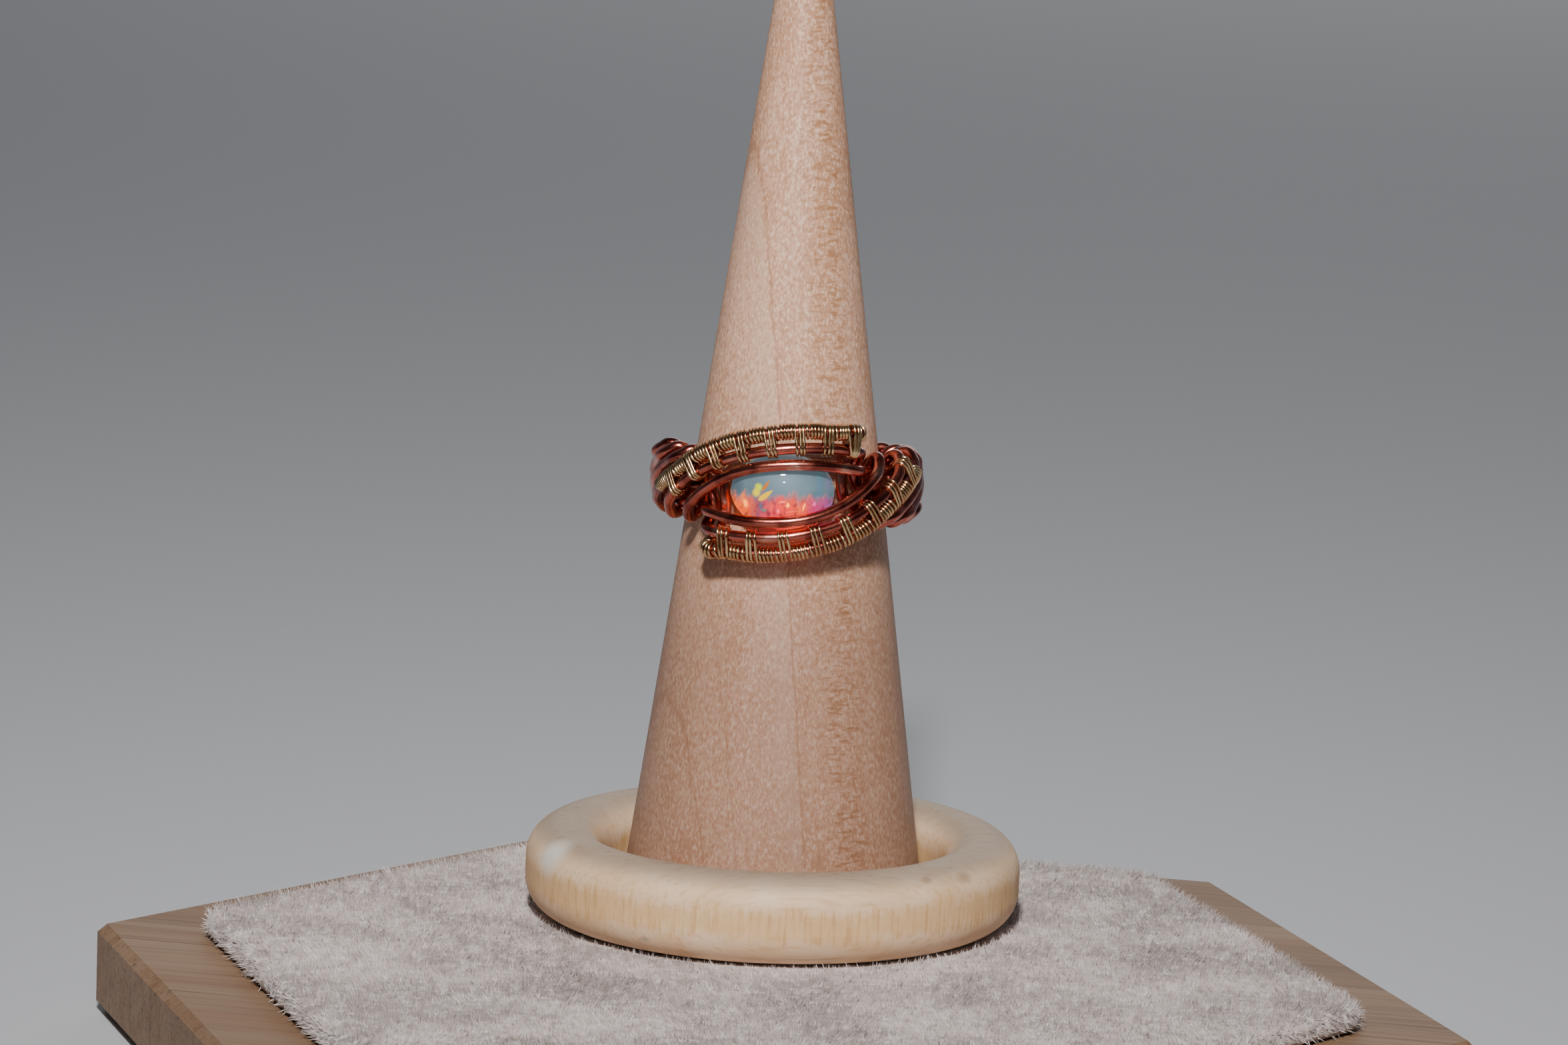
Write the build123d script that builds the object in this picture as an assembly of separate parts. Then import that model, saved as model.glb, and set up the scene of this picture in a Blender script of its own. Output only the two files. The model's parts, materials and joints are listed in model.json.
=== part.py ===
from build123d import *
from collections import namedtuple
from math import asin, cos, degrees, pi, radians, sin
import os

# A wire-wrapped opal ring on a wooden cone stand, in millimetres, +Z up.
# The origin is the centre of the board's underside. The stone faces -Y.

# Ring
wire_diameter = 1.02
wire_gap = 0.06
ring_bore = 17.75
ring_seat_gap = 0.05
ring_turn = -1.8
ring_tilt = 3.0

# Opal, an oval cabochon
stone_length = 9.2
stone_width = 6.8
stone_girdle = 0.7
stone_dome = 2.2
stone_back_gap = 0.375
stone_edge_break = 0.15

# Board and pad, both hexagons
board_corner_radius = 62.9
board_thickness = 8.0
board_edge_break = 0.8
board_turn = -11.7
pad_corner_radius = 53.4
pad_thickness = 2.4
pad_corner_round = 5.0
pad_top_round = 0.9
seat_gap = 0.05

# Cone and the loose collar round its foot
cone_x = -0.5
cone_y = 15.8
cone_foot_diameter = 28.0
cone_height = 90.0
cone_tip_diameter = 3.6
cone_tip_round = 1.2
cone_foot_break = 0.5
collar_outer_diameter = 45.0
collar_inner_diameter = 31.2
collar_thickness = 8.0
collar_round = 3.2

# The ring's wires lie in layers, one wire pitch apart: inner, core and outer.
pitch = wire_diameter + wire_gap
core_radius = ring_bore / 2 + wire_gap + wire_diameter / 2 + pitch
stone_back = ring_bore / 2 + stone_back_gap
stone_top = stone_back + stone_girdle + stone_dome

# The stand's stack, and the height at which the ring stops on the cone.
pad_bottom = board_thickness + seat_gap
cone_bottom = pad_bottom + pad_thickness + seat_gap
cone_slope = (cone_foot_diameter - cone_tip_diameter) / 2 / cone_height

# The core wires spread beside the stone and close up at the back, between two angles.
spread_back_ratio = 1.0
spread_side_ratio = 1.57
spread_from, spread_to = 135, 72

# A wire that turns under or over the core passes this far beyond the core's last wire,
# and begins its inner pass this far beyond it, in pitches.
turn_reach_ratio = 1.22
turn_side_ratio = 0.33

# The ring stops where the wires' lowest inner passes meet the cone.
contact_height = (cone_foot_diameter / 2 - ring_bore / 2 + ring_seat_gap) / cone_slope
ring_height = cone_bottom + contact_height + (spread_side_ratio + turn_side_ratio) * pitch

# At the back the core wires leave the core circle and lie close to the cone.
back_from = 130
back_drop = pitch + ring_bore / 2 * sin(radians(ring_tilt))
cone_at_back = cone_foot_diameter / 2 - cone_slope * (ring_height - back_drop - cone_bottom)
back_radius = cone_at_back + 2 * wire_gap + wire_diameter / 2

# The outermost wire rises beside the stone's end, at this angle of the tables below and
# this far inside the core circle, in pitches.
riser_angle_in_tables = 29.5
riser_inset_ratio = 0.32
riser_radius = core_radius - riser_inset_ratio * pitch
riser_angle = degrees(asin((stone_length / 2 + wire_gap + wire_diameter / 2) / riser_radius))

# Beyond this angle from the front a wire no longer follows the stone's height.
stone_reach = 46

# Each wire is a list of steps. angle is in degrees from the front, positive to the right.
# height is counted from the stone's rim line and layer from the stone's top line, both
# in wire pitches. The two lines run down to the core beside the stone.
Step = namedtuple("Step", "angle height layer")

# The wire next to the stone, from the right side of the ring across to the left.
LID_FRONT = [
    Step(47, 1.59, -0.05),
    Step(42.5, 1.58, 0.03),
    Step(38.5, 1.51, 0.40),
    Step(34, 1.37, 0.76),
    Step(24, 0.77, 0.66),
    Step(12, -0.22, 0.25),
    Step(0, -0.79, 0.01),
    Step(-11, -0.69, 0.22),
    Step(-21, -0.40, 0.55),
    Step(-31, -0.39, 0.93),
    Step(-39, -0.96, 1.21),
    Step(-45, -1.86, 1.05),
]

# The middle wire comes up behind the first and turns outward over it.
MIDDLE_FRONT = [
    Step(46, 0.02, -0.04),
    Step(40.5, 0.17, -0.40),
    Step(37.5, 0.85, -0.63),
    Step(36.8, 1.74, -0.60),
    Step(37.3, 2.51, -0.23),
    Step(36.6, 2.93, 0.30),
    Step(33.5, 2.90, 0.59),
    Step(25, 2.34, 0.39),
    Step(12, 1.15, -0.14),
    Step(0, 0.51, -0.33),
    Step(-12, 0.59, -0.09),
    Step(-23, 1.06, 0.44),
    Step(-34, 1.21, 1.06),
    Step(-44, 0.63, 1.29),
    Step(-53, -0.51, 1.25),
    Step(-61, -1.85, 1.00),
]

# The outer wire rises right beside the stone's end and turns outward above the middle one.
OUTER_FRONT = [
    Step(45, -1.56, -0.05),
    Step(37, -1.68, -0.34),
    Step(31.5, -1.27, -0.64),
    Step(29.5, -0.16, -0.79),
    Step(29.8, 1.17, -0.87),
    Step(30.9, 2.44, -0.84),
    Step(32.6, 3.53, -0.62),
    Step(34.3, 4.22, -0.03),
    Step(33.8, 4.46, 0.56),
    Step(30.6, 4.32, 0.66),
    Step(24, 3.61, 0.24),
    Step(12, 2.54, -0.39),
    Step(0, 1.90, -0.63),
    Step(-12, 1.98, -0.29),
    Step(-25, 2.53, 0.49),
    Step(-38, 2.50, 1.19),
    Step(-52, 1.06, 1.30),
    Step(-65, -0.28, 1.25),
    Step(-76, -1.39, 1.15),
    Step(-81.5, -2.08, 0.90),
]

# core is the wire's place in the core. The wire turns under the core at one angle
# and comes back over it at another.
Lane = namedtuple("Lane", "core front under over")
LANES = {
    "lid": Lane(1, LID_FRONT, -49.5, -49.5),
    "middle": Lane(0, MIDDLE_FRONT, -66, -63.5),
    "outer": Lane(-1, OUTER_FRONT, -86, -78.5),
}
shank_angles = (180, 165, 150, 135, 120, 105, 90, 72, 55)

# The second pass over the outside, under the core again and up its inner side to the end.
# back is in degrees behind the turn over the core. height is counted from one of the core's
# wires: the top one (1), the middle one (0) or the bottom one (-1).
Pass = namedtuple("Pass", "back wire height layer")
SECOND_PASS = [
    Pass(3.6, 1, 0.77, 0.9),
    Pass(15.6, 0, 1.3, 1.12),
    Pass(27.6, 0, 0, 1.28),
    Pass(39.6, 0, -1.2, 1.12),
    Pass(45.5, -1, -0.72, 0.9),
    Pass(49.5, -1, -turn_reach_ratio, 0),
    Pass(50.5, -1, -turn_side_ratio, -1),
    Pass(50.5, 0, -0.2, -1),
    Pass(50.5, 0, 0.9, -1),
]


def eased(share):
    """Goes from 0 to 1 with level ends."""
    share = min(max(share, 0), 1)
    return share * share * (3 - 2 * share)


def spread_at(angle):
    """Half the height of the core's outer wires above its middle one, in pitches."""
    share = eased((spread_from - abs(angle)) / (spread_from - spread_to))
    return spread_back_ratio + (spread_side_ratio - spread_back_ratio) * share


def real_angle(angle):
    """Moves a table's angle so that the wires stay clear of a longer or shorter stone."""
    shift = riser_angle - riser_angle_in_tables
    size = abs(angle)
    if size < riser_angle_in_tables:
        size += shift * size / riser_angle_in_tables
    else:
        size += shift * min(1, (180 - size) / (180 - back_from))
    return size if angle >= 0 else -size


def place(step):
    """The point of one step, in the ring's own frame with the stone's centre at height 0."""
    follow = (1 + cos(pi * step.angle / stone_reach)) / 2 if abs(step.angle) < stone_reach else 0
    circle = core_radius + (back_radius - core_radius) * eased(
        (abs(step.angle) - back_from) / (180 - back_from)
    )
    out = circle + follow * (stone_top - core_radius) + step.layer * pitch
    turn = radians(real_angle(step.angle))
    height = follow * stone_width / 2 + step.height * pitch
    return Vector(out * sin(turn), -out * cos(turn), height)


def shank_steps(lane):
    """From the middle of the back round to the right side."""
    return [Step(angle, lane.core * spread_at(angle), 0) for angle in shank_angles]


def turn_steps(lane):
    """Under the core, up its inner side and over its top."""
    low, high = spread_at(lane.under), spread_at(lane.over)
    return [
        Step(lane.under, -low - turn_reach_ratio, 0),
        Step(lane.under, -low - turn_side_ratio, -1),
        Step((lane.under + lane.over) / 2, 0, -1),
        Step(lane.over, high + turn_side_ratio, -1),
        Step(lane.over, high + turn_reach_ratio, 0),
    ]


def second_pass_steps(lane):
    """Down the outside again, further back, and under the core to the wire's end."""
    steps = []
    for row in SECOND_PASS:
        angle = lane.over - row.back
        steps.append(Step(angle, row.wire * spread_at(angle) + row.height, row.layer))
    return steps


def half_wire(name):
    """Points from the middle of the back, round the right side and the front, to the end."""
    lane = LANES[name]
    steps = shank_steps(lane) + lane.front + turn_steps(lane) + second_pass_steps(lane)
    return [place(step) for step in steps]


def half_turned(points):
    """The same points turned half a turn about the axis through the stone."""
    return [Vector(-point.X, point.Y, -point.Z) for point in points]


def whole_wire(name, mate):
    """One wire: the mate's half, turned, then round the back into the named half."""
    return list(reversed(half_turned(half_wire(mate)))) + half_wire(name)[1:]


def tangents(points):
    """At each point, the direction of the circle through it and its two neighbours."""
    inner = []
    for before, here, after in zip(points, points[1:], points[2:]):
        back, ahead = here - before, after - here
        inner.append((back.normalized() * ahead.length + ahead.normalized() * back.length).normalized())
    first = (points[1] - points[0]).normalized()
    last = (points[-1] - points[-2]).normalized()
    start = first * (2 * inner[0].dot(first)) - inner[0]
    end = last * (2 * inner[-1].dot(last)) - inner[-1]
    return [start] + inner + [end]


def two_arcs(start, start_way, end, end_way):
    """Two arcs that leave start and reach end in the given directions and meet smoothly."""
    across = end - start
    ways = start_way + end_way
    bend = 2 * (1 - start_way.dot(end_way))
    if bend < 1e-9:
        arm = across.dot(across) / (4 * across.dot(end_way))
    else:
        along = across.dot(ways)
        arm = (-along + (along * along + bend * across.dot(across)) ** 0.5) / bend
    first_knee, second_knee = start + start_way * arm, end - end_way * arm
    middle = (first_knee + second_knee) * 0.5
    way = (second_knee - first_knee).normalized()
    return [smooth_edge(start, start_way, middle), smooth_edge(middle, way, end)]


def smooth_edge(start, way, end):
    """An arc that leaves start along way, or a line where the arc would be flat."""
    if (end - start).normalized().cross(way).length < 1e-6:
        return Edge.make_line(start, end)
    return Edge.make_tangent_arc(start, way, end)


def bent_wire(points):
    """A round wire whose centre line runs smoothly through the points."""
    ways = tangents(points)
    edges = []
    for i in range(len(points) - 1):
        edges += two_arcs(points[i], ways[i], points[i + 1], ways[i + 1])
    route = Wire(edges)
    section = Plane(points[0], z_dir=ways[0]) * Circle(wire_diameter / 2)
    solid = sweep(section, path=route)
    print("wire length", round(route.length, 1), "volume", round(solid.volume, 2),
          "section times length", round(route.length * section.area, 2))
    return solid


def cabochon():
    """The opal: a flat back, a short upright rim and a round dome, stretched to an oval."""
    rim = stone_girdle / stone_dome
    edge = stone_edge_break / stone_dome
    profile = [
        Edge.make_line((0, 0, 0), (1 - edge, 0, 0)),
        Edge.make_line((1 - edge, 0, 0), (1, 0, edge)),
        Edge.make_line((1, 0, edge), (1, 0, rim)),
        Edge.make_three_point_arc((1, 0, rim), (cos(pi / 4), 0, rim + sin(pi / 4)), (0, 0, rim + 1)),
        Edge.make_line((0, 0, rim + 1), (0, 0, 0)),
    ]
    round_stone = revolve(Face(Wire(profile)), Axis.Z)
    oval = scale(round_stone, by=(stone_length / 2, stone_width / 2, stone_dome))
    return Location((0, -stone_back, 0), (90, 0, 0)) * oval


def hexagon(corner_radius, thickness, bottom):
    """A hexagonal slab with its corners as the board's."""
    outline = Rot(0, 0, board_turn) * RegularPolygon(corner_radius, 6)
    return Pos(0, 0, bottom) * extrude(outline, thickness)


def board():
    slab = hexagon(board_corner_radius, board_thickness, 0)
    rims = slab.faces().sort_by(Axis.Z)[-1].edges() + slab.faces().sort_by(Axis.Z)[0].edges()
    return chamfer(rims, board_edge_break)


def pad():
    slab = hexagon(pad_corner_radius, pad_thickness, pad_bottom)
    slab = fillet(slab.edges().filter_by(Axis.Z), pad_corner_round)
    return fillet(slab.faces().sort_by(Axis.Z)[-1].edges(), pad_top_round)


def cone():
    foot, tip = cone_foot_diameter / 2, cone_tip_diameter / 2
    body = Pos(0, 0, cone_bottom) * Cone(
        foot, tip, cone_height, align=(Align.CENTER, Align.CENTER, Align.MIN)
    )
    circles = body.edges().filter_by(GeomType.CIRCLE).sort_by(Axis.Z)
    body = fillet(circles[-1], min(cone_tip_round, 0.8 * tip))
    circles = body.edges().filter_by(GeomType.CIRCLE).sort_by(Axis.Z)
    body = chamfer(circles[0], cone_foot_break)
    return Pos(cone_x, cone_y, 0) * body


def collar():
    middle = (collar_outer_diameter + collar_inner_diameter) / 4
    width = (collar_outer_diameter - collar_inner_diameter) / 2
    section = Plane.XZ * Pos(middle, cone_bottom + collar_thickness / 2) * RectangleRounded(
        width, collar_thickness, min(collar_round, 0.45 * min(width, collar_thickness))
    )
    return Pos(cone_x, cone_y, 0) * revolve(section, Axis.Z)


on_cone = Pos(cone_x, cone_y, ring_height) * Rot(0, 0, ring_turn) * Rot(-ring_tilt, 0, 0)

nodes = {
    "display_board": board(),
    "velvet_pad": pad(),
    "wooden_collar": collar(),
    "ring_cone": cone(),
    "opal_cabochon": on_cone * cabochon(),
    "copper_wire_top": on_cone * bent_wire(whole_wire("lid", "outer")),
    "copper_wire_middle": on_cone * bent_wire(whole_wire("middle", "middle")),
    "copper_wire_bottom": on_cone * bent_wire(whole_wire("outer", "lid")),
}

os.makedirs("parts", exist_ok=True)
for name, shape in nodes.items():
    export_step(shape, f"parts/{name}.step")
print("ring centre height", round(ring_height, 2), "riser angle", round(riser_angle, 1))
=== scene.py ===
# %% [markdown]
# # A wire-wrapped opal ring on a wooden cone
# The ring is made of three copper wires and one opal, bound with a fine gold-coloured wire.
# It sits on a turned wooden cone, with a loose wooden collar, a velvet pad and a bamboo board.
# The solid model of all of them is loaded first and never changed. This lesson then gives each
# piece its finish, and models what a solid model leaves out: the fine wire and the velvet.

import json
from bisect import bisect
from collections import namedtuple
from math import asin, atan2, cos, degrees, pi, radians, sin

import bpy
from mathutils import Matrix, Vector

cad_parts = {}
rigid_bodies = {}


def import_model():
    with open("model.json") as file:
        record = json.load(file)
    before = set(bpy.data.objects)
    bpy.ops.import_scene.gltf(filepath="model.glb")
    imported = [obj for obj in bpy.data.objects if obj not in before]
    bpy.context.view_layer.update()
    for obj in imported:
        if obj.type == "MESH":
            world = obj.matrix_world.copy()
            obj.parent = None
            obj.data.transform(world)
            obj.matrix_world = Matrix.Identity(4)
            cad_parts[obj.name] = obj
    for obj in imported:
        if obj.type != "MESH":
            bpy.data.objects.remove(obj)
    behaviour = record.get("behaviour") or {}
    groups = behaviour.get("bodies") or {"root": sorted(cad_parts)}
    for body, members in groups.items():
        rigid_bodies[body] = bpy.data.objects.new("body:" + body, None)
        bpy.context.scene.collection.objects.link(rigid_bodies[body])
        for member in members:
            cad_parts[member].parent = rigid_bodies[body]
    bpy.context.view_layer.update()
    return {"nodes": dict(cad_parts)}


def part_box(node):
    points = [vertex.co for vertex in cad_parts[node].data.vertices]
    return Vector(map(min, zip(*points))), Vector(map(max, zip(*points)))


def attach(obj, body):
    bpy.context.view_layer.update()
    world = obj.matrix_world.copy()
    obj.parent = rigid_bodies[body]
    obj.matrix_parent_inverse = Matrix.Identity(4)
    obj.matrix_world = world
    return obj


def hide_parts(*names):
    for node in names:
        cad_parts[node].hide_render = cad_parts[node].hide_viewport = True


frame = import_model()
MM = 0.001


# %% [markdown]
# ## Helpers
# Blender's operators act on whatever is selected, so each step first selects one object.
# A modifier is applied at once, so that the mesh itself has the shape.


# %% Select, modify and settle
def only(piece):
    """Selects one object and nothing else, and makes it active."""
    bpy.ops.object.select_all(action="DESELECT")
    piece.select_set(True)
    bpy.context.view_layer.objects.active = piece


def modify(piece, kind, **settings):
    """Adds one modifier and applies it."""
    only(piece)
    modifier = piece.modifiers.new(kind.title(), kind)
    for name, value in settings.items():
        setattr(modifier, name, value)
    bpy.ops.object.modifier_apply(modifier=modifier.name)


def settle(piece):
    """Moves an object's place, turn and size into its mesh."""
    only(piece)
    bpy.ops.object.transform_apply(location=True, rotation=True, scale=True)


# %% [markdown]
# ## How a colour is written
# Colours are written as the hex values that a paint program shows. Blender works in linear
# light, where a middle grey is far below a half, so one function turns the one into the other.


# %% Colours
def colour(text):
    """A hex colour such as #B87333 as linear red, green, blue and alpha."""
    shades = [int(text[i : i + 2], 16) / 255 for i in (1, 3, 5)]
    return [s / 12.92 if s <= 0.04045 else ((s + 0.055) / 1.055) ** 2.4 for s in shades] + [1]


print("middle grey in linear light:", round(colour("#808080")[0], 3))

# %% [markdown]
# ## How a material is written
# A material is a net of nodes that ends in a shader. It could be drawn by hand in the Shader
# Editor. In a script, one function adds a node, sets its sockets and links them.


# %% Add a node
def add(tree, kind, inputs=None, stops=None, **settings):
    """Adds a node. inputs maps sockets to values, colours, nodes or other sockets."""
    node = tree.nodes.new(kind)
    for name, value in settings.items():
        setattr(node, name, value)
    for socket, value in (inputs or {}).items():
        if isinstance(value, bpy.types.Node):
            value = value.outputs[0]
        if isinstance(value, bpy.types.NodeSocket):
            tree.links.new(value, node.inputs[socket])
        else:
            node.inputs[socket].default_value = colour(value) if isinstance(value, str) else value
    if stops:
        elements = node.color_ramp.elements
        while len(elements) < len(stops):
            elements.new(1)
        for element, (position, shade) in zip(elements, stops):
            element.position = position
            element.color = colour(shade)
    return node


# %% [markdown]
# A material starts with its main shader alone. When its nodes are ready, the finished colour,
# roughness and relief are linked to that shader, and the material goes onto its piece.


# %% Start, link and use a material
def new_material(name):
    """A material, its node tree and its main shader."""
    material = bpy.data.materials.new(name)
    material.use_nodes = True
    return material, material.node_tree, material.node_tree.nodes["Principled BSDF"]


def wire_up(tree, shader, **sources):
    """Links nodes to the shader's sockets, with _ for a space in a socket's name."""
    for name, source in sources.items():
        tree.links.new(source.outputs[0], shader.inputs[name.replace("_", " ")])


def paint(piece, material):
    """Gives a piece one material."""
    piece.data.materials.clear()
    piece.data.materials.append(material)


# %% [markdown]
# ## Patterns and layers
# Patterns read Object coordinates, so they stay fixed in the wood and metal. `space_in_mm` puts
# their origin at a chosen centre, turns it, and divides it into cells of a given size in
# millimetres, so a noise of scale 1 has grains of that size. `lay` is a thin layer of paint: a
# shade goes over a ground, as much as a mask says.


# %% Patterns in millimetres, laid in layers
def space_in_mm(tree, centre=(0, 0, 0), turn=(0, 0, 0), cell=(1, 1, 1)):
    """Object coordinates about a centre, in a turned frame, counted in cells of a size in mm."""
    place = add(tree, "ShaderNodeTexCoord").outputs["Object"]
    return add(tree, "ShaderNodeMapping",
               {"Vector": place, "Location": Vector(centre) * MM, "Rotation": turn,
                "Scale": Vector(cell) * MM}, vector_type="TEXTURE")


def lay(tree, ground, shade, mask, start=0, full=1, strength=1):
    """Lays a shade over a ground: none where the mask is at start, most where it is at full."""
    share = add(tree, "ShaderNodeMapRange",
                {"Value": mask, "From Min": start, "From Max": full, "To Max": strength},
                interpolation_type="SMOOTHSTEP")
    return add(tree, "ShaderNodeMixRGB", {"Fac": share, "Color1": ground, "Color2": shade})


# %% [markdown]
# ## Where the ring sits
# The finger ring slides down the cone until its lowest inner wires touch the wood. Its place
# follows from its bore and the cone's slope, and the stone leans back a little. Those lowest
# wires run about two pitches below the ring's middle, and a pitch is one wire and a hair's gap.
# All these lengths are in millimetres.

# %% The ring's place on the cone
WIRE = 1.02
WIRE_GAP = 0.06
PITCH = WIRE + WIRE_GAP
RING_BORE = 17.75
SEAT_GAP = 0.05
RING_TURN, RING_TILT = radians(-1.8), radians(3)
LOWEST_WIRE_BELOW = 1.57 + 0.33
CONE_FOOT, CONE_TIP, CONE_HEIGHT = 28.0, 3.6, 90.0

cone_low, cone_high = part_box("ring_cone")
cone_axis = (cone_low + cone_high) / 2 / MM
cone_bottom = cone_low.z / MM
cone_slope = (CONE_FOOT - CONE_TIP) / 2 / CONE_HEIGHT
ring_height = cone_bottom + ((CONE_FOOT - RING_BORE) / 2 + SEAT_GAP) / cone_slope
ring_height += LOWEST_WIRE_BELOW * PITCH
ring_centre = Vector((cone_axis.x, cone_axis.y, ring_height))
on_cone = Matrix.Translation(ring_centre)
on_cone @= Matrix.Rotation(RING_TURN, 4, "Z") @ Matrix.Rotation(-RING_TILT, 4, "X")
print("ring centre", [round(v, 2) for v in ring_centre])

# %% [markdown]
# ## The opal
# An opal cabochon is cut with a flat back, a short upright rim and a polished dome. A sphere
# gives a dome with even faces: its lower half is cut away just above the middle row of points,
# the cut edge is drawn back to make the rim, and the back is closed and inset. The whole is then
# stretched to an oval, and the sharp back edge gets a small bevel.

# %% Model the opal
STONE_LENGTH, STONE_WIDTH = 9.2, 6.8
STONE_GIRDLE, STONE_DOME = 0.7, 2.2
STONE_EDGE_BREAK = 0.15
STONE_OFF_BORE = 0.375
STONE_BACK = RING_BORE / 2 + STONE_OFF_BORE
CUT_AT, BACK_INSET = 0.0001, 0.04

bpy.ops.object.select_all(action="DESELECT")
bpy.ops.mesh.primitive_uv_sphere_add(segments=96, ring_count=64, radius=1)
opal = bpy.context.object
opal.name = "opal_polished"
bpy.ops.object.mode_set(mode="EDIT")
bpy.ops.mesh.select_all(action="SELECT")
bpy.ops.mesh.bisect(plane_co=(0, 0, CUT_AT), plane_no=(0, 0, 1), clear_inner=True)
rim = (0, 0, -STONE_GIRDLE / STONE_DOME)
bpy.ops.mesh.extrude_region_move(TRANSFORM_OT_translate={"value": rim})
bpy.ops.mesh.edge_face_add()
bpy.ops.mesh.inset(thickness=BACK_INSET)
bpy.ops.mesh.select_all(action="SELECT")
bpy.ops.mesh.normals_make_consistent(inside=False)
bpy.ops.object.mode_set(mode="OBJECT")
opal.scale = (STONE_LENGTH / 2, STONE_WIDTH / 2, STONE_DOME)
opal.location = (0, 0, STONE_GIRDLE)
settle(opal)
modify(opal, "BEVEL", width=STONE_EDGE_BREAK, segments=2, limit_method="ANGLE",
       angle_limit=radians(60))
only(opal)
bpy.ops.object.shade_smooth_by_angle(angle=radians(35))
print("opal faces", len(opal.data.polygons))

# %% [markdown]
# The stone was modelled lying on its back, in millimetres. It is stood up, moved out to the
# front of the ring and shrunk to metres, and its place goes into its mesh. It stands for the
# solid stone, which is hidden.

# %% Set the opal
stone_place = on_cone @ Matrix.Translation((0, -STONE_BACK, 0))
stone_place @= Matrix.Rotation(radians(90), 4, "X")
opal.matrix_world = Matrix.Scale(MM, 4) @ stone_place
settle(opal)
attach(opal, "root")
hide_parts("opal_cabochon")
print("the stone's back is", STONE_BACK, "mm in front of the ring's middle")

# %% [markdown]
# ## The copper wires' route
# The solid copper wires are right as they are. To bind them with fine wire, this script needs
# the lines that run through their middles, so it works them out again in the same way: each
# row of a table is one step of a wire round the front of the ring, and smooth arcs join them.
# A step's angle is in degrees from the front, positive to the right. Its height is counted from
# the stone's rim line and its layer from the stone's top line, both in pitches, and beside the
# stone both lines run down to the core, the circle on which the shank's wires lie.

# %% Steps of the middle copper wire round the front
Step = namedtuple("Step", "angle height layer")

MIDDLE_WIRE = [
    Step(46, 0.02, -0.04),
    Step(40.5, 0.17, -0.40),
    Step(37.5, 0.85, -0.63),
    Step(36.8, 1.74, -0.60),
    Step(37.3, 2.51, -0.23),
    Step(36.6, 2.93, 0.30),
    Step(33.5, 2.90, 0.59),
    Step(25, 2.34, 0.39),
    Step(12, 1.15, -0.14),
    Step(0, 0.51, -0.33),
    Step(-12, 0.59, -0.09),
    Step(-23, 1.06, 0.44),
    Step(-34, 1.21, 1.06),
    Step(-44, 0.63, 1.29),
    Step(-53, -0.51, 1.25),
    Step(-61, -1.85, 1.00),
]
print("steps of the middle wire:", len(MIDDLE_WIRE))

# %% [markdown]
# The outermost wire of the upper side makes the longer way: it rises beside the stone's right
# end, turns outward above the middle wire and sweeps furthest to the left.

# %% Steps of the outer copper wire round the front
OUTER_WIRE = [
    Step(45, -1.56, -0.05),
    Step(37, -1.68, -0.34),
    Step(31.5, -1.27, -0.64),
    Step(29.5, -0.16, -0.79),
    Step(29.8, 1.17, -0.87),
    Step(30.9, 2.44, -0.84),
    Step(32.6, 3.53, -0.62),
    Step(34.3, 4.22, -0.03),
    Step(33.8, 4.46, 0.56),
    Step(30.6, 4.32, 0.66),
    Step(24, 3.61, 0.24),
    Step(12, 2.54, -0.39),
    Step(0, 1.90, -0.63),
    Step(-12, 1.98, -0.29),
    Step(-25, 2.53, 0.49),
    Step(-38, 2.50, 1.19),
    Step(-52, 1.06, 1.30),
    Step(-65, -0.28, 1.25),
    Step(-76, -1.39, 1.15),
    Step(-81.5, -2.08, 0.90),
]
print("steps of the outer wire:", len(OUTER_WIRE))

# %% [markdown]
# The outermost wire rises close beside the stone's ends. The tables' angles are stretched a
# little, so that it just clears a stone of this length, and the stretch fades out towards the
# back. Where a wire crosses the stone it also follows the dome outwards and the rim upwards, by a
# smooth bell that ends at the stone's reach.

# %% Where a step is
CORE_RADIUS = RING_BORE / 2 + WIRE_GAP + WIRE / 2 + PITCH
STONE_TOP = STONE_BACK + STONE_GIRDLE + STONE_DOME
STONE_REACH = 46
RISER_ANGLE_IN_TABLES, RISER_INSET = 29.5, 0.32
BACK_FROM = 130

riser_reach = STONE_LENGTH / 2 + WIRE_GAP + WIRE / 2
riser_angle = degrees(asin(riser_reach / (CORE_RADIUS - RISER_INSET * PITCH)))
riser_shift = riser_angle - RISER_ANGLE_IN_TABLES


def place(step):
    """The point of one step, in millimetres, in the ring's own frame."""
    size = abs(step.angle)
    if size < RISER_ANGLE_IN_TABLES:
        size += riser_shift * size / RISER_ANGLE_IN_TABLES
    else:
        size += riser_shift * min(1, (180 - size) / (180 - BACK_FROM))
    turn = radians(size if step.angle >= 0 else -size)
    follow = (1 + cos(pi * step.angle / STONE_REACH)) / 2 if abs(step.angle) < STONE_REACH else 0
    out = CORE_RADIUS + follow * (STONE_TOP - CORE_RADIUS) + step.layer * PITCH
    height = follow * STONE_WIDTH / 2 + step.height * PITCH
    return Vector((out * sin(turn), -out * cos(turn), height))


print("risers moved out by", round(riser_shift, 2), "degrees")

# %% [markdown]
# Bent wire is a chain of arcs without corners. First, each step gets the direction of the circle
# through it and its neighbours.


# %% The wire's direction at each step
def directions(points):
    """At each point, the direction of the circle through it and its two neighbours."""
    inner = []
    for before, here, after in zip(points, points[1:], points[2:]):
        back, ahead = here - before, after - here
        way = back.normalized() * ahead.length + ahead.normalized() * back.length
        inner.append(way.normalized())
    return [(points[1] - points[0]).normalized()] + inner + [(points[-1] - points[-2]).normalized()]


# %% [markdown]
# Then two arcs that meet smoothly join each step to the next, as points a tenth of a millimetre
# apart.


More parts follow.
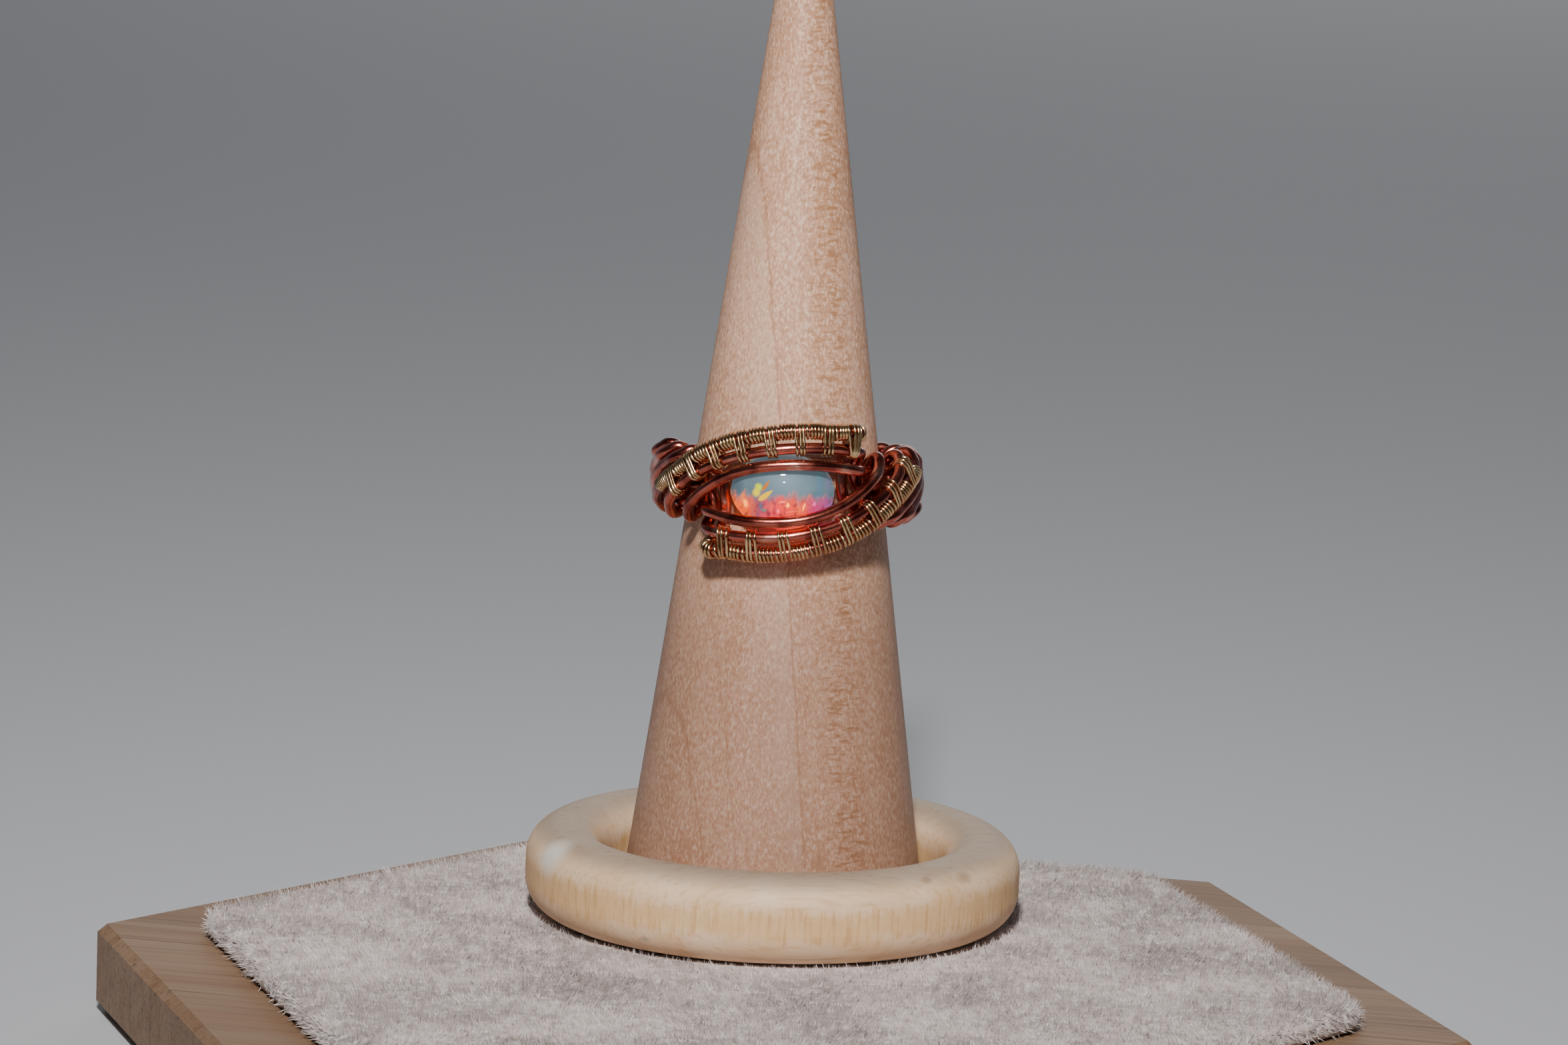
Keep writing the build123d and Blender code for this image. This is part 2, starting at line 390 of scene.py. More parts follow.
# %% Arcs through the steps
def arc(start, way, end, spacing=0.1):
    """Points along the arc that leaves start along way and ends at end, without its start."""
    across = end - start
    aside = across - way * across.dot(way)
    if aside.length < 1e-6 * across.length:
        return [end]
    bend = 2 * atan2(aside.length, across.dot(way))
    radius = across.length / (2 * sin(bend / 2))
    aside.normalize()
    count = max(2, round(radius * bend / spacing))
    turns = [bend * (i + 1) / count for i in range(count)]
    return [start + way * radius * sin(t) + aside * radius * (1 - cos(t)) for t in turns]


def smooth_line(steps):
    """A smooth line of close points through all the steps, two arcs from each to the next."""
    points = [place(step) for step in steps]
    ways = directions(points)
    line = [points[0]]
    for start, start_way, end, end_way in zip(points, ways, points[1:], ways[1:]):
        across, both = end - start, start_way + end_way
        bend = 2 * (1 - start_way.dot(end_way))
        along = across.dot(both)
        arm = (-along + (along * along + bend * across.dot(across)) ** 0.5) / bend
        knees = start + start_way * arm, end - end_way * arm
        middle = (knees[0] + knees[1]) / 2
        line += arc(start, start_way, middle) + arc(middle, (knees[1] - knees[0]).normalized(), end)
    return line


middle_line, outer_line = smooth_line(MIDDLE_WIRE), smooth_line(OUTER_WIRE)
print("points", len(middle_line), "and", len(outer_line))

# %% [markdown]
# The fine wire has to ask two things of such a line: where it is after so many millimetres, and
# where it passes beside a point of the other wire. A small class answers both. Where a wire bends
# back, a place straight beside the point can lie on another bend, much further off than the
# nearest place, and then the nearest one counts.

# %% Ask a line for its points
TOO_FAR = 1.5


class Route:
    """A line that can be asked for its point and direction at any distance along it."""

    def __init__(self, line):
        self.line = line
        self.marks = [0.0]
        for a, b in zip(line, line[1:]):
            self.marks.append(self.marks[-1] + (b - a).length)

    def at(self, distance):
        i = min(max(bisect(self.marks, distance) - 1, 0), len(self.line) - 2)
        share = (distance - self.marks[i]) / (self.marks[i + 1] - self.marks[i])
        a, b = self.line[i], self.line[i + 1]
        before, after = self.line[max(i - 1, 0)], self.line[min(i + 2, len(self.line) - 1)]
        way = (b - before).normalized().lerp((after - a).normalized(), share).normalized()
        return a.lerp(b, share), way

    def beside(self, point, way):
        """Where this line passes point: in the plane square to way, or else at its nearest."""
        nearest = min(self.line, key=lambda spot: (spot - point).length)
        best = None
        for a, b in zip(self.line, self.line[1:]):
            from_a, from_b = (a - point).dot(way), (b - point).dot(way)
            if from_a * from_b <= 0 and from_a != from_b:
                crossing = a.lerp(b, from_a / (from_a - from_b))
                if best is None or (crossing - point).length < (best - point).length:
                    best = crossing
        if best is None or (best - point).length > TOO_FAR * (nearest - point).length:
            aside = nearest - point
            best = point + aside - way * aside.dot(way)
        return best


middle_route, outer_route = Route(middle_line), Route(outer_line)
print("lengths", round(middle_route.marks[-1], 1), "and", round(outer_route.marks[-1], 1), "mm")

# %% [markdown]
# A line that was worked out twice can differ by mistake. So the distance from each line to the
# solid wire's surface is measured: everywhere it should be half of the wire's thickness. Every
# tenth point is enough, and the ends are left out, because there the solid wire runs on.

# %% Check the lines against the solid wires
ENDS, EVERY = 20, 10

for name, route in (("copper_wire_bottom", outer_route), ("copper_wire_middle", middle_route)):
    surface = frame["nodes"][name]
    worst = 0
    for point in route.line[ENDS:-ENDS:EVERY]:
        near = surface.closest_point_on_mesh(on_cone @ point * MM)[1]
        worst = max(worst, abs((near / MM - on_cone @ point).length - WIRE / 2))
    print(name, "is round its line to", round(worst, 3), "mm")

# %% [markdown]
# ## The fine gold-coloured wire
# One fine wire binds the outer copper wire to the middle one. It goes a few times round the
# outer wire alone and then a few times round both, again and again. A coil made with a screw
# or array modifier can't change its shape on the way, so the wire's own line is worked out
# turn by turn, and a curve with a round bevel gives it its thickness. The turns are counted in
# the photograph. A few of them are slack and stand up by a fraction of a millimetre.

# %% How many turns go round what
FINE_WIRE = 0.265

Wraps = namedtuple("Wraps", "round_outer round_both")
Strand = namedtuple("Strand", "name wraps slack_turns start first_pitch last_pitch")
UPPER = Strand("gold_wire_upper",
               [Wraps(4, 4), Wraps(4, 3)] + [Wraps(5, 3)] * 6 + [Wraps(7, 0)],
               {14: 0.14, 46: 0.26}, start=8.67, first_pitch=0.305, last_pitch=0.37)
LOWER = Strand("gold_wire_lower",
               [Wraps(7, 3), Wraps(4, 3)] + [Wraps(5, 3)] * 6 + [Wraps(4, 0)],
               {5: 0.08}, start=8.7, first_pitch=0.365, last_pitch=0.38)
print("times round both wires:", sum(row.round_both for row in UPPER.wraps), "above and",
      sum(row.round_both for row in LOWER.wraps), "below")

# %% [markdown]
# A turn round one wire is a circle. A turn round two is a racetrack: half a circle round each
# wire and two straight runs between them. The fine wire's middle keeps half of both wires'
# thickness from the copper's middle, and a hair more.

# %% One turn of the fine wire
WRAP_CLEARANCE = 0.006
WRAP_RADIUS = WIRE / 2 + FINE_WIRE / 2 + WRAP_CLEARANCE


def wrap_point(share, outer, middle, way, both, slack):
    """The fine wire's place after a share of one turn that starts on the outer wire's far side."""
    towards = (middle - outer).normalized()
    side = way.cross(towards)
    if not both:
        turn = pi + 2 * pi * share
        return outer + (towards * cos(turn) + side * sin(turn)) * (WRAP_RADIUS + slack)
    reach = (middle - outer).length
    quarter, half = WRAP_RADIUS * pi / 2, WRAP_RADIUS * pi
    gone = share * (2 * half + 2 * reach)
    if gone < quarter:
        turn = pi + gone / WRAP_RADIUS
        return outer + (towards * cos(turn) + side * sin(turn)) * WRAP_RADIUS
    gone -= quarter
    if gone < reach:
        return outer - side * WRAP_RADIUS + towards * gone
    gone -= reach
    if gone < half:
        turn = -pi / 2 + gone / WRAP_RADIUS
        return middle + (towards * cos(turn) + side * sin(turn)) * WRAP_RADIUS
    gone -= half
    if gone < reach:
        return middle + side * WRAP_RADIUS - towards * gone
    turn = pi / 2 + (gone - reach) / WRAP_RADIUS
    return outer + (towards * cos(turn) + side * sin(turn)) * WRAP_RADIUS


print("the fine wire's middle runs", round(WRAP_RADIUS, 3), "mm from the copper's middle")

# %% [markdown]
# Now all the turns follow each other along the outer wire, each a little further on. Turns of
# one kind lie close together, and a gap opens where the wire goes from one kind to the other.

# %% All the turns of one strand
CLOSE_TURNS, TURNS_APART = 0.9, 1.3
POINTS_PER_WRAP = 28
SLACK_STEEPNESS = 3


def binding_line(strand):
    """All the points of one fine wire, in the ring's frame. A slack turn stands up a little."""
    turns = []
    for row in strand.wraps:
        turns += [False] * row.round_outer + [True] * row.round_both
    line, distance = [], strand.start
    for number, (both, both_next) in enumerate(zip(turns, turns[1:] + turns[-1:])):
        pitch = strand.first_pitch
        pitch += (strand.last_pitch - strand.first_pitch) * number / len(turns)
        pitch *= CLOSE_TURNS if both == both_next else TURNS_APART
        for i in range(POINTS_PER_WRAP):
            share = i / POINTS_PER_WRAP
            outer, way = outer_route.at(distance + pitch * share)
            middle = middle_route.beside(outer, way)
            slack = sum(rise * max(0, 1 - SLACK_STEEPNESS * abs(number + share - turn)) ** 2
                        for turn, rise in strand.slack_turns.items())
            line.append(wrap_point(share, outer, middle, way, both, slack))
        distance += pitch
    print(strand.name, len(turns), "turns, to", round(distance, 1), "mm along the outer wire")
    return line


# %% [markdown]
# A curve with a round bevel turns the line into wire. The lower strand is worked out on the same
# copper lines as the upper one and then turned half a turn about the axis through the stone, as
# the whole lower half of the ring is.


# %% Make both strands
WIRE_SIDES = 10


def round_wire(name, line, diameter, sides):
    """A round wire along a line of points given in millimetres, as a mesh."""
    curve = bpy.data.curves.new(name, "CURVE")
    curve.dimensions = "3D"
    spline = curve.splines.new("POLY")
    spline.points.add(len(line) - 1)
    for spot, point in zip(spline.points, line):
        spot.co = (*(point * MM), 1)
    curve.bevel_depth = diameter / 2 * MM
    curve.bevel_resolution = sides // 2 - 2
    curve.use_fill_caps = True
    wire = bpy.data.objects.new(name, curve)
    bpy.context.collection.objects.link(wire)
    only(wire)
    bpy.ops.object.convert(target="MESH")
    bpy.ops.object.shade_smooth_by_angle(angle=radians(50))
    return bpy.context.object


upper_line = [on_cone @ p for p in binding_line(UPPER)]
lower_line = [on_cone @ Vector((-p.x, p.y, -p.z)) for p in binding_line(LOWER)]
gold_upper = round_wire(UPPER.name, upper_line, FINE_WIRE, WIRE_SIDES)
gold_lower = round_wire(LOWER.name, lower_line, FINE_WIRE, WIRE_SIDES)
for gold in (gold_upper, gold_lower):
    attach(gold, "root")
    print(gold.name, "faces", len(gold.data.polygons))

# %% [markdown]
# ## The velvet pad
# The pad is a thin card with velvet glued over it. Velvet is a cloth with a short upright pile,
# brushed this way and that. The solid pad is copied and given an even mesh by a voxel remesh.
# Two Displace modifiers let the cloth sink a little, in soft hollows and in small tufts, and
# never rise, so it stays clear of the wood that stands on it. A glued cloth doesn't swell or
# sag, so no cloth simulation is run.

# %% Model the velvet's ground
VOXEL = 0.7
Relief = namedtuple("Relief", "title width depth")
CLOTH_RELIEFS = [Relief("hollows", 9, 0.12), Relief("tufts", 0.9, 0.16)]

bpy.ops.object.select_all(action="DESELECT")
velvet = bpy.data.objects.new("velvet_cloth", frame["nodes"]["velvet_pad"].data.copy())
bpy.context.collection.objects.link(velvet)
only(velvet)
bpy.ops.object.mode_set(mode="EDIT")
bpy.ops.mesh.select_all(action="SELECT")
bpy.ops.mesh.remove_doubles(threshold=0.001 * MM)
bpy.ops.object.mode_set(mode="OBJECT")
modify(velvet, "REMESH", mode="VOXEL", voxel_size=VOXEL * MM)
for relief in CLOTH_RELIEFS:
    clouds = bpy.data.textures.new(relief.title, "CLOUDS")
    clouds.noise_scale = relief.width * MM
    modify(velvet, "DISPLACE", texture=clouds, texture_coords="LOCAL",
           strength=relief.depth * MM, mid_level=1)
only(velvet)
bpy.ops.object.shade_smooth()
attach(velvet, "root")
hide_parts("velvet_pad")
print("velvet faces", len(velvet.data.polygons))

# %% [markdown]
# ## The pile
# Each fibre of the pile is a thin three-sided spike. A hair system could grow them too, but
# Geometry Nodes leave a plain mesh that any program can read. They scatter points over the
# cloth, first of all only where a fibre can stand: not on the pad's underside, and not where the
# cone or the flat of the collar presses the cloth down.

# %% Where the pile grows
PILE_PER_MM2 = 6.0
CONE_FREE, COLLAR_FREE_FROM, COLLAR_FREE_TO = 14.6, 16.7, 21.4
UNDERSIDE = -0.2

pile_tree = bpy.data.node_groups.new("velvet_pile", "GeometryNodeTree")
for way in ("INPUT", "OUTPUT"):
    pile_tree.interface.new_socket(name="Geometry", in_out=way, socket_type="NodeSocketGeometry")
cloth = add(pile_tree, "NodeGroupInput")
spot = add(pile_tree, "GeometryNodeInputPosition")
from_axis = add(pile_tree, "ShaderNodeVectorMath", {0: spot, 1: cone_axis * MM},
                operation="SUBTRACT")
flat = add(pile_tree, "ShaderNodeVectorMath", {0: from_axis, 1: (1, 1, 0)}, operation="MULTIPLY")
reach = add(pile_tree, "ShaderNodeVectorMath", {0: flat}, operation="LENGTH").outputs["Value"]
near_cone = add(pile_tree, "ShaderNodeMath", {0: reach, 1: CONE_FREE * MM},
                operation="LESS_THAN")
collar_middle = (COLLAR_FREE_FROM + COLLAR_FREE_TO) / 2 * MM
collar_half = (COLLAR_FREE_TO - COLLAR_FREE_FROM) / 2 * MM
near_collar = add(pile_tree, "ShaderNodeMath", {0: reach, 1: collar_middle, 2: collar_half},
                  operation="COMPARE")
facing = add(pile_tree, "ShaderNodeSeparateXYZ", {0: add(pile_tree, "GeometryNodeInputNormal")})
below = add(pile_tree, "ShaderNodeMath", {0: facing.outputs["Z"], 1: UNDERSIDE},
            operation="LESS_THAN")
pressed = add(pile_tree, "ShaderNodeMath", {0: near_cone, 1: near_collar}, operation="ADD")
bare = add(pile_tree, "ShaderNodeMath", {0: pressed, 1: below}, operation="ADD")
grown = add(pile_tree, "ShaderNodeMath", {0: 1, 1: bare}, operation="SUBTRACT")
roots = add(pile_tree, "GeometryNodeDistributePointsOnFaces",
            {"Mesh": cloth, "Selection": grown, "Density": PILE_PER_MM2 / MM**2, "Seed": 7})
print("a fibre on every", round(1 / PILE_PER_MM2, 2), "mm2 of cloth")

# %% [markdown]
# A hand that strokes velvet leaves patches where the pile leans one way. So the fibres lean by a
# wide soft noise, and each strays a little on its own.

# %% How the pile leans
BRUSHED_PATCH = 11
MOST_LEAN = 1.6

brushed = add(pile_tree, "ShaderNodeTexNoise",
              {"Vector": spot, "Scale": 1 / (BRUSHED_PATCH * MM), "Detail": 2})
lean = add(pile_tree, "ShaderNodeVectorMath",
           {0: brushed.outputs["Color"], 1: (2 * MOST_LEAN, 2 * MOST_LEAN, 0),
            2: (-MOST_LEAN, -MOST_LEAN, 0)}, operation="MULTIPLY_ADD")
stray = add(pile_tree, "FunctionNodeRandomValue",
            {"Min": (-0.6, -0.6, -0.2), "Max": (0.6, 0.6, 0.4), "Seed": 3},
            data_type="FLOAT_VECTOR")
leaning = add(pile_tree, "ShaderNodeVectorMath", {0: lean, 1: stray}, operation="ADD")
direction = add(pile_tree, "ShaderNodeVectorMath", {0: leaning, 1: roots.outputs["Normal"]},
                operation="ADD")
turned = add(pile_tree, "FunctionNodeAlignRotationToVector", {"Vector": direction}, axis="Z")
print("the pile leans in patches of", BRUSHED_PATCH, "mm")

# %% [markdown]
# Copies of one spike stand on the points and become one mesh. Real pile is finer and far denser.
# These fibres are as thick as the picture needs to show them.

# %% Grow the pile
FIBRE_LENGTH, FIBRE_RADIUS = 0.75, 0.06

fibre = add(pile_tree, "GeometryNodeMeshCone",
            {"Vertices": 3, "Radius Top": 0, "Radius Bottom": FIBRE_RADIUS * MM,
             "Depth": FIBRE_LENGTH * MM}, fill_type="NONE")
sizes = add(pile_tree, "FunctionNodeRandomValue",
            {"Min": (0.7, 0.7, 0.6), "Max": (1.2, 1.2, 1.2), "Seed": 5}, data_type="FLOAT_VECTOR")
fibres = add(pile_tree, "GeometryNodeInstanceOnPoints",
             {"Points": roots, "Instance": fibre, "Rotation": turned, "Scale": sizes})
add(pile_tree, "NodeGroupOutput", {0: add(pile_tree, "GeometryNodeRealizeInstances", {0: fibres})})

pile = bpy.data.objects.new("velvet_pile", velvet.data.copy())
bpy.context.collection.objects.link(pile)
modify(pile, "NODES", node_group=pile_tree)
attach(pile, "root")
print("pile faces", len(pile.data.polygons))

# %% [markdown]
# ## The camera
# The photograph was taken from about 60 cm with a long lens, looking down by ten degrees and
# tilted by two. Three directions, ahead, right and up, are worked out from those angles and
# become the camera's own axes.

# %% Camera
CAMERA_PLACE = Vector((-0.5, -608.594, 155.929))
CAMERA_PITCH, CAMERA_YAW, CAMERA_ROLL = 0.1732, -0.00016, 0.0366
CAMERA_LENS, SENSOR_WIDTH = 161.1, 36

level = cos(CAMERA_PITCH)
ahead = Vector((sin(CAMERA_YAW) * level, cos(CAMERA_YAW) * level, -sin(CAMERA_PITCH)))
right = Vector((cos(CAMERA_YAW), -sin(CAMERA_YAW), 0))
up = right.cross(ahead)
camera_x = right * cos(CAMERA_ROLL) + up * sin(CAMERA_ROLL)
camera_y = up * cos(CAMERA_ROLL) - right * sin(CAMERA_ROLL)
bpy.ops.object.select_all(action="DESELECT")
bpy.ops.object.camera_add()
camera = bpy.context.object
turn = Matrix((camera_x, camera_y, -ahead)).transposed().to_4x4()
camera.matrix_world = Matrix.Translation(CAMERA_PLACE * MM) @ turn
camera.data.lens = CAMERA_LENS
camera.data.sensor_width = SENSOR_WIDTH
camera.data.clip_start, camera.data.clip_end = 0.01, 20
bpy.context.scene.camera = camera
print("camera", round((CAMERA_PLACE - ring_centre).length), "mm from the ring")

# %% [markdown]
# ## Bare copper
# The wires are soft drawn copper, bent by hand, and the metal has warmed to a reddish brown in
# places. Drawing leaves it smooth, with faint marks from the pliers. A metal has no colour of its
# own beyond what it reflects: the tint goes into the base colour, and a little unevenness in the
# roughness breaks up the highlights. Handling leaves a thin film of wax or skin oil on it. The
# shader's coat stands for that film, and puts a narrow white core into each highlight.

# %% Copper
copper, tree, shader = new_material("bare_drawn_copper")
tarnish = add(tree, "ShaderNodeTexNoise",
              {"Vector": space_in_mm(tree, cell=(2.6, 2.6, 2.6)), "Scale": 1, "Detail": 4})
marks = add(tree, "ShaderNodeTexNoise",
            {"Vector": space_in_mm(tree, cell=(0.3, 0.3, 0.3)), "Scale": 1, "Detail": 3})
metal = lay(tree, "#C46654", "#8A3A30", tarnish, 0.52, 0.36)
metal = lay(tree, metal, "#E2A692", tarnish, 0.55, 0.7)
rough = add(tree, "ShaderNodeMapRange",
            {"Value": marks.outputs["Fac"], "To Min": 0.18, "To Max": 0.3})
dents = add(tree, "ShaderNodeBump",
            {"Height": marks.outputs["Fac"], "Strength": 0.12, "Distance": 0.03 * MM})
wire_up(tree, shader, Base_Color=metal, Roughness=rough, Normal=dents)
shader.inputs["Metallic"].default_value = 1
shader.inputs["Coat Weight"].default_value = 0.5
shader.inputs["Coat Roughness"].default_value = 0.1
for name in ("copper_wire_top", "copper_wire_middle", "copper_wire_bottom"):
    paint(frame["nodes"][name], copper)
print(copper.name, len(tree.nodes), "nodes")

# %% [markdown]
# ## Gold-coloured craft wire
# The fine wire has a copper core plated in a pale gold colour. It is brighter and smoother than
# the bare copper, and each turn throws a small sharp highlight. Such wire is lacquered against
# tarnish, and the shader's coat is that lacquer.

# %% Gold-coloured wire
gold_finish, tree, shader = new_material("lacquered_craft_wire")
tone = add(tree, "ShaderNodeTexNoise",
           {"Vector": space_in_mm(tree, cell=(1.4, 1.4, 1.4)), "Scale": 1, "Detail": 3})
scuffs = add(tree, "ShaderNodeTexNoise",
             {"Vector": space_in_mm(tree, cell=(0.15, 0.15, 0.15)), "Scale": 1, "Detail": 2})
plating = lay(tree, "#CBA072", "#E8C898", tone, 0.4, 0.62)
rough = add(tree, "ShaderNodeMapRange",
            {"Value": scuffs.outputs["Fac"], "To Min": 0.16, "To Max": 0.26})
wire_up(tree, shader, Base_Color=plating, Roughness=rough)
shader.inputs["Metallic"].default_value = 1
shader.inputs["Coat Weight"].default_value = 0.5
shader.inputs["Coat Roughness"].default_value = 0.1
paint(gold_upper, gold_finish)
paint(gold_lower, gold_finish)
print(gold_finish.name, len(tree.nodes), "nodes")

# %% [markdown]
# ## Opal
# This is a light opal: milky grey-green glass-like silica in which tiny packed spheres split
# light into colours. Here a bank of salmon and pink flames stands along the lower edge, with two
# sharp yellow flashes at the left and a blue streak at the right. Their colours go into the base
# colour, and into the emission as well, as a painted glow, since the stone is no lamp: it lets the
# flames outshine the surface, and a dim milky glow fills in the shadow the wires cast on it.
# Each patch is placed in the stone's own frame: right and up from its middle, in millimetres.
# No patch in a real opal has a clean outline, so a small noise pushes the frame about a little.

# %% The stone's own frame
opal_finish, tree, shader = new_material("polished_light_opal")
stone_middle = on_cone @ Vector((0, -STONE_BACK, 0))
stone_turn = (-RING_TILT, 0, RING_TURN)
stone = space_in_mm(tree, stone_middle, stone_turn)
side = add(tree, "ShaderNodeSeparateXYZ", {0: stone})
ripple = add(tree, "ShaderNodeTexNoise",
             {"Vector": space_in_mm(tree, stone_middle, stone_turn, (0.4, 50, 0.4)), "Scale": 1,
              "Detail": 2})
pushed = add(tree, "ShaderNodeVectorMath", {0: ripple.outputs["Color"], 1: (0.3, 0, 0.3), 2: stone},
             operation="MULTIPLY_ADD")
rippled = add(tree, "ShaderNodeVectorMath", {0: pushed, 1: (0.15, 0, 0.15)},
              operation="SUBTRACT")
print("stone's middle at", [round(v, 2) for v in stone_middle])

# %% [markdown]
# A mask says where a patch is. An oval is a soft round gradient, stretched. A leaf is as wide as
# its outline says at each distance along it, and comes to a point. Both reach right through the
# stone, because their frame is stretched by far more than its depth.


# %% Masks on the stone's face
THROUGH = 100


def oval(place, half_size, lean=0):
    """A mask that is 1 in the middle of an oval on the stone's face and 0 from its edge on."""
    spread = add(tree, "ShaderNodeMapping",
                 {"Vector": rippled, "Location": (place[0], 0, place[1]),
                  "Rotation": (0, radians(lean), 0),
                  "Scale": (half_size[0], THROUGH, half_size[1])}, vector_type="TEXTURE")
    return add(tree, "ShaderNodeTexGradient", {"Vector": spread}, gradient_type="SPHERICAL")


def leaf(foot, tip, half_width):
    """A mask that is above 0 inside a leaf from a round foot to a pointed tip."""
    run = Vector((tip[0] - foot[0], 0, tip[1] - foot[1]))
    spread = add(tree, "ShaderNodeMapping",
                 {"Vector": stone, "Location": (foot[0], 0, foot[1]),
                  "Rotation": (0, atan2(-run.z, run.x), 0),
                  "Scale": (run.length, THROUGH, half_width)}, vector_type="TEXTURE")
    part = add(tree, "ShaderNodeSeparateXYZ", {0: spread})
    left = add(tree, "ShaderNodeMath", {0: 1, 1: part.outputs["X"]}, operation="SUBTRACT")
    rounded = add(tree, "ShaderNodeMath", {0: part.outputs["X"], 1: 0.5}, operation="POWER")
    outline = add(tree, "ShaderNodeMath", {0: left, 1: rounded}, operation="MULTIPLY")
    full = add(tree, "ShaderNodeMath", {0: outline, 1: 2.6}, operation="MULTIPLY")
    off_line = add(tree, "ShaderNodeMath", {0: part.outputs["Z"]}, operation="ABSOLUTE")
    return add(tree, "ShaderNodeMath", {0: full, 1: off_line}, operation="SUBTRACT")


# %% [markdown]
# The body is milky and changes slowly: greener at the upper left, darker at the left end, with a
# blue, a green and a violet streak near the right end. It is painted paler in the upper middle, a
# painted glow round the highlight, and paler in a thin rim all round, a painted highlight on the
# stone's edge.

# %% The stone's milky body
cloud = add(tree, "ShaderNodeTexNoise",
            {"Vector": space_in_mm(tree, stone_middle, stone_turn, (1.3, 50, 1.1)), "Scale": 1,
             "Detail": 3})
milk_and_painted_highlight = lay(tree, "#48565E", "#55666A", cloud, 0.35, 0.7)
# painted highlight: a paler soft glow round the highlight in the upper middle of the stone
milk_and_painted_highlight = lay(tree, milk_and_painted_highlight, "#6E7E86", oval((0.4, 0.9), (3.4, 2.2)), 0, 1)
milk_and_painted_highlight = lay(tree, milk_and_painted_highlight, "#4F6C68", oval((-0.9, 2.3), (3.2, 0.9)), 0, 0.8)
milk_and_painted_highlight = lay(tree, milk_and_painted_highlight, "#3B464E", oval((-4.2, 0.4), (1.2, 1.6)), 0, 0.8)
milk_and_painted_highlight = lay(tree, milk_and_painted_highlight, "#3C6884", oval((3.3, 0.5), (0.5, 1.9), 5), 0, 1.2, 0.8)
milk_and_painted_highlight = lay(tree, milk_and_painted_highlight, "#35766C", oval((3.15, 1.9), (0.4, 0.7), -10), 0, 0.9)
milk_and_painted_highlight = lay(tree, milk_and_painted_highlight, "#5C5876", oval((4.05, 0.9), (0.45, 1.0), 0), 0, 0.9)
# painted highlight: a paler thin rim all round the stone's edge
milk_and_painted_highlight = lay(tree, milk_and_painted_highlight, "#7F8D8E", oval((0, 0), (4.6, 3.4)), 0.03, 0.0)
print("nodes for the body:", len(tree.nodes))

# %% [markdown]
# The flames stand below a ragged line. Its height is the height on the stone less two noises:
# tall narrow cells give the tongues, and finer streaks fray them. Their colour changes from left
# to right on a ramp, pushed about by a third noise that also leaves dark gaps.

# %% The bank of flames along the lower edge
streaks = add(tree, "ShaderNodeTexNoise",
              {"Vector": space_in_mm(tree, stone_middle, stone_turn, (0.45, 50, 0.8)), "Scale": 1,
               "Detail": 3, "Distortion": 0.6})
lively = add(tree, "ShaderNodeTexNoise",
             {"Vector": space_in_mm(tree, stone_middle, stone_turn, (0.5, 50, 0.8)), "Scale": 1,
              "Detail": 3})
tongues = add(tree, "ShaderNodeTexNoise",
              {"Vector": space_in_mm(tree, stone_middle, stone_turn, (0.7, 50, 2.5)), "Scale": 1,
               "Detail": 2})
slope = add(tree, "ShaderNodeMath", {0: tongues.outputs["Fac"], 1: -2.0, 2: side.outputs["Z"]},
            operation="MULTIPLY_ADD")
ragged = add(tree, "ShaderNodeMath", {0: streaks.outputs["Fac"], 1: -0.9, 2: slope},
             operation="MULTIPLY_ADD")
across = add(tree, "ShaderNodeMath", {0: lively.outputs["Fac"], 1: 2.0, 2: side.outputs["X"]},
             operation="MULTIPLY_ADD")
along = add(tree, "ShaderNodeMapRange", {"Value": across, "From Min": -3.4, "From Max": 5.6})
flame = add(tree, "ShaderNodeValToRGB", {"Fac": along},
            stops=[(0.0, "#8C3608"), (0.16, "#8E2C08"), (0.26, "#4A2430"), (0.34, "#7A1A26"),
                   (0.5, "#8E1A18"), (0.68, "#8E280C"), (0.8, "#6E1432"), (1.0, "#3C2A48")])
flame = lay(tree, flame, "#30141A", lively, 0.5, 0.32, 0.75)
flame = lay(tree, flame, "#A84C18", streaks, 0.58, 0.76, 0.6)
# painted glow: a dim milky emission over the whole stone, and the flames' colours below the ragged
# line
painted_glow = lay(tree, "#1B2327", flame, ragged, -1.3, -2.5)
body = lay(tree, milk_and_painted_highlight, "#2C1614", ragged, -1.5, -2.3)
print("nodes with the flames:", len(tree.nodes))

# %% [markdown]
# Single flashes come last, each with its own place, size and shade, read off the photograph: a
# yellow one at the left, drawn as two ovals, dark gaps, and sparks in the flames. They go over
# the glow and over the body alike.

# %% Flashes
Flash = namedtuple("Flash", "place half_size lean shade")
FLASHES = [
    Flash((-1.85, -1.2), (0.22, 0.55), 0, "#2E2A34"),
    Flash((-1.55, -1.55), (0.4, 0.2), 0, "#2C3C34"),
    Flash((-3.22, -1.05), (0.3, 0.6), -20, "#B45C18"),
    Flash((-3.5, -0.5), (0.25, 0.7), 8, "#7A3C1C"),
    Flash((0.57, -1.0), (0.2, 0.34), 10, "#C46820"),
    Flash((0.1, -0.72), (0.5, 0.12), -12, "#9A4030"),
    Flash((1.95, -1.15), (0.16, 0.55), 14, "#C06414"),
    Flash((1.5, -0.8), (0.12, 0.6), -8, "#7A2C2C"),
    Flash((2.9, -0.86), (0.22, 0.3), 0, "#802850"),
    Flash((-0.3, -1.6), (0.12, 0.3), 0, "#B03C50"),
    Flash((-2.09, 0.5), (0.42, 0.44), 0, "#686E00"),
    Flash((-2.26, 0.02), (0.5, 0.52), 20, "#786A00"),
]
for flash in FLASHES:
    mask = oval(flash.place, flash.half_size, flash.lean)
    painted_glow = lay(tree, painted_glow, flash.shade, mask, 0.0, 0.75)
    body = lay(tree, body, flash.shade, mask, 0.0, 0.75)
print("flashes", len(FLASHES))

# %% [markdown]
# Two flashes come to a point: a yellow leaf below and an orange one above it. Opal is polished
# to a gloss, and its IOR is 1.45.

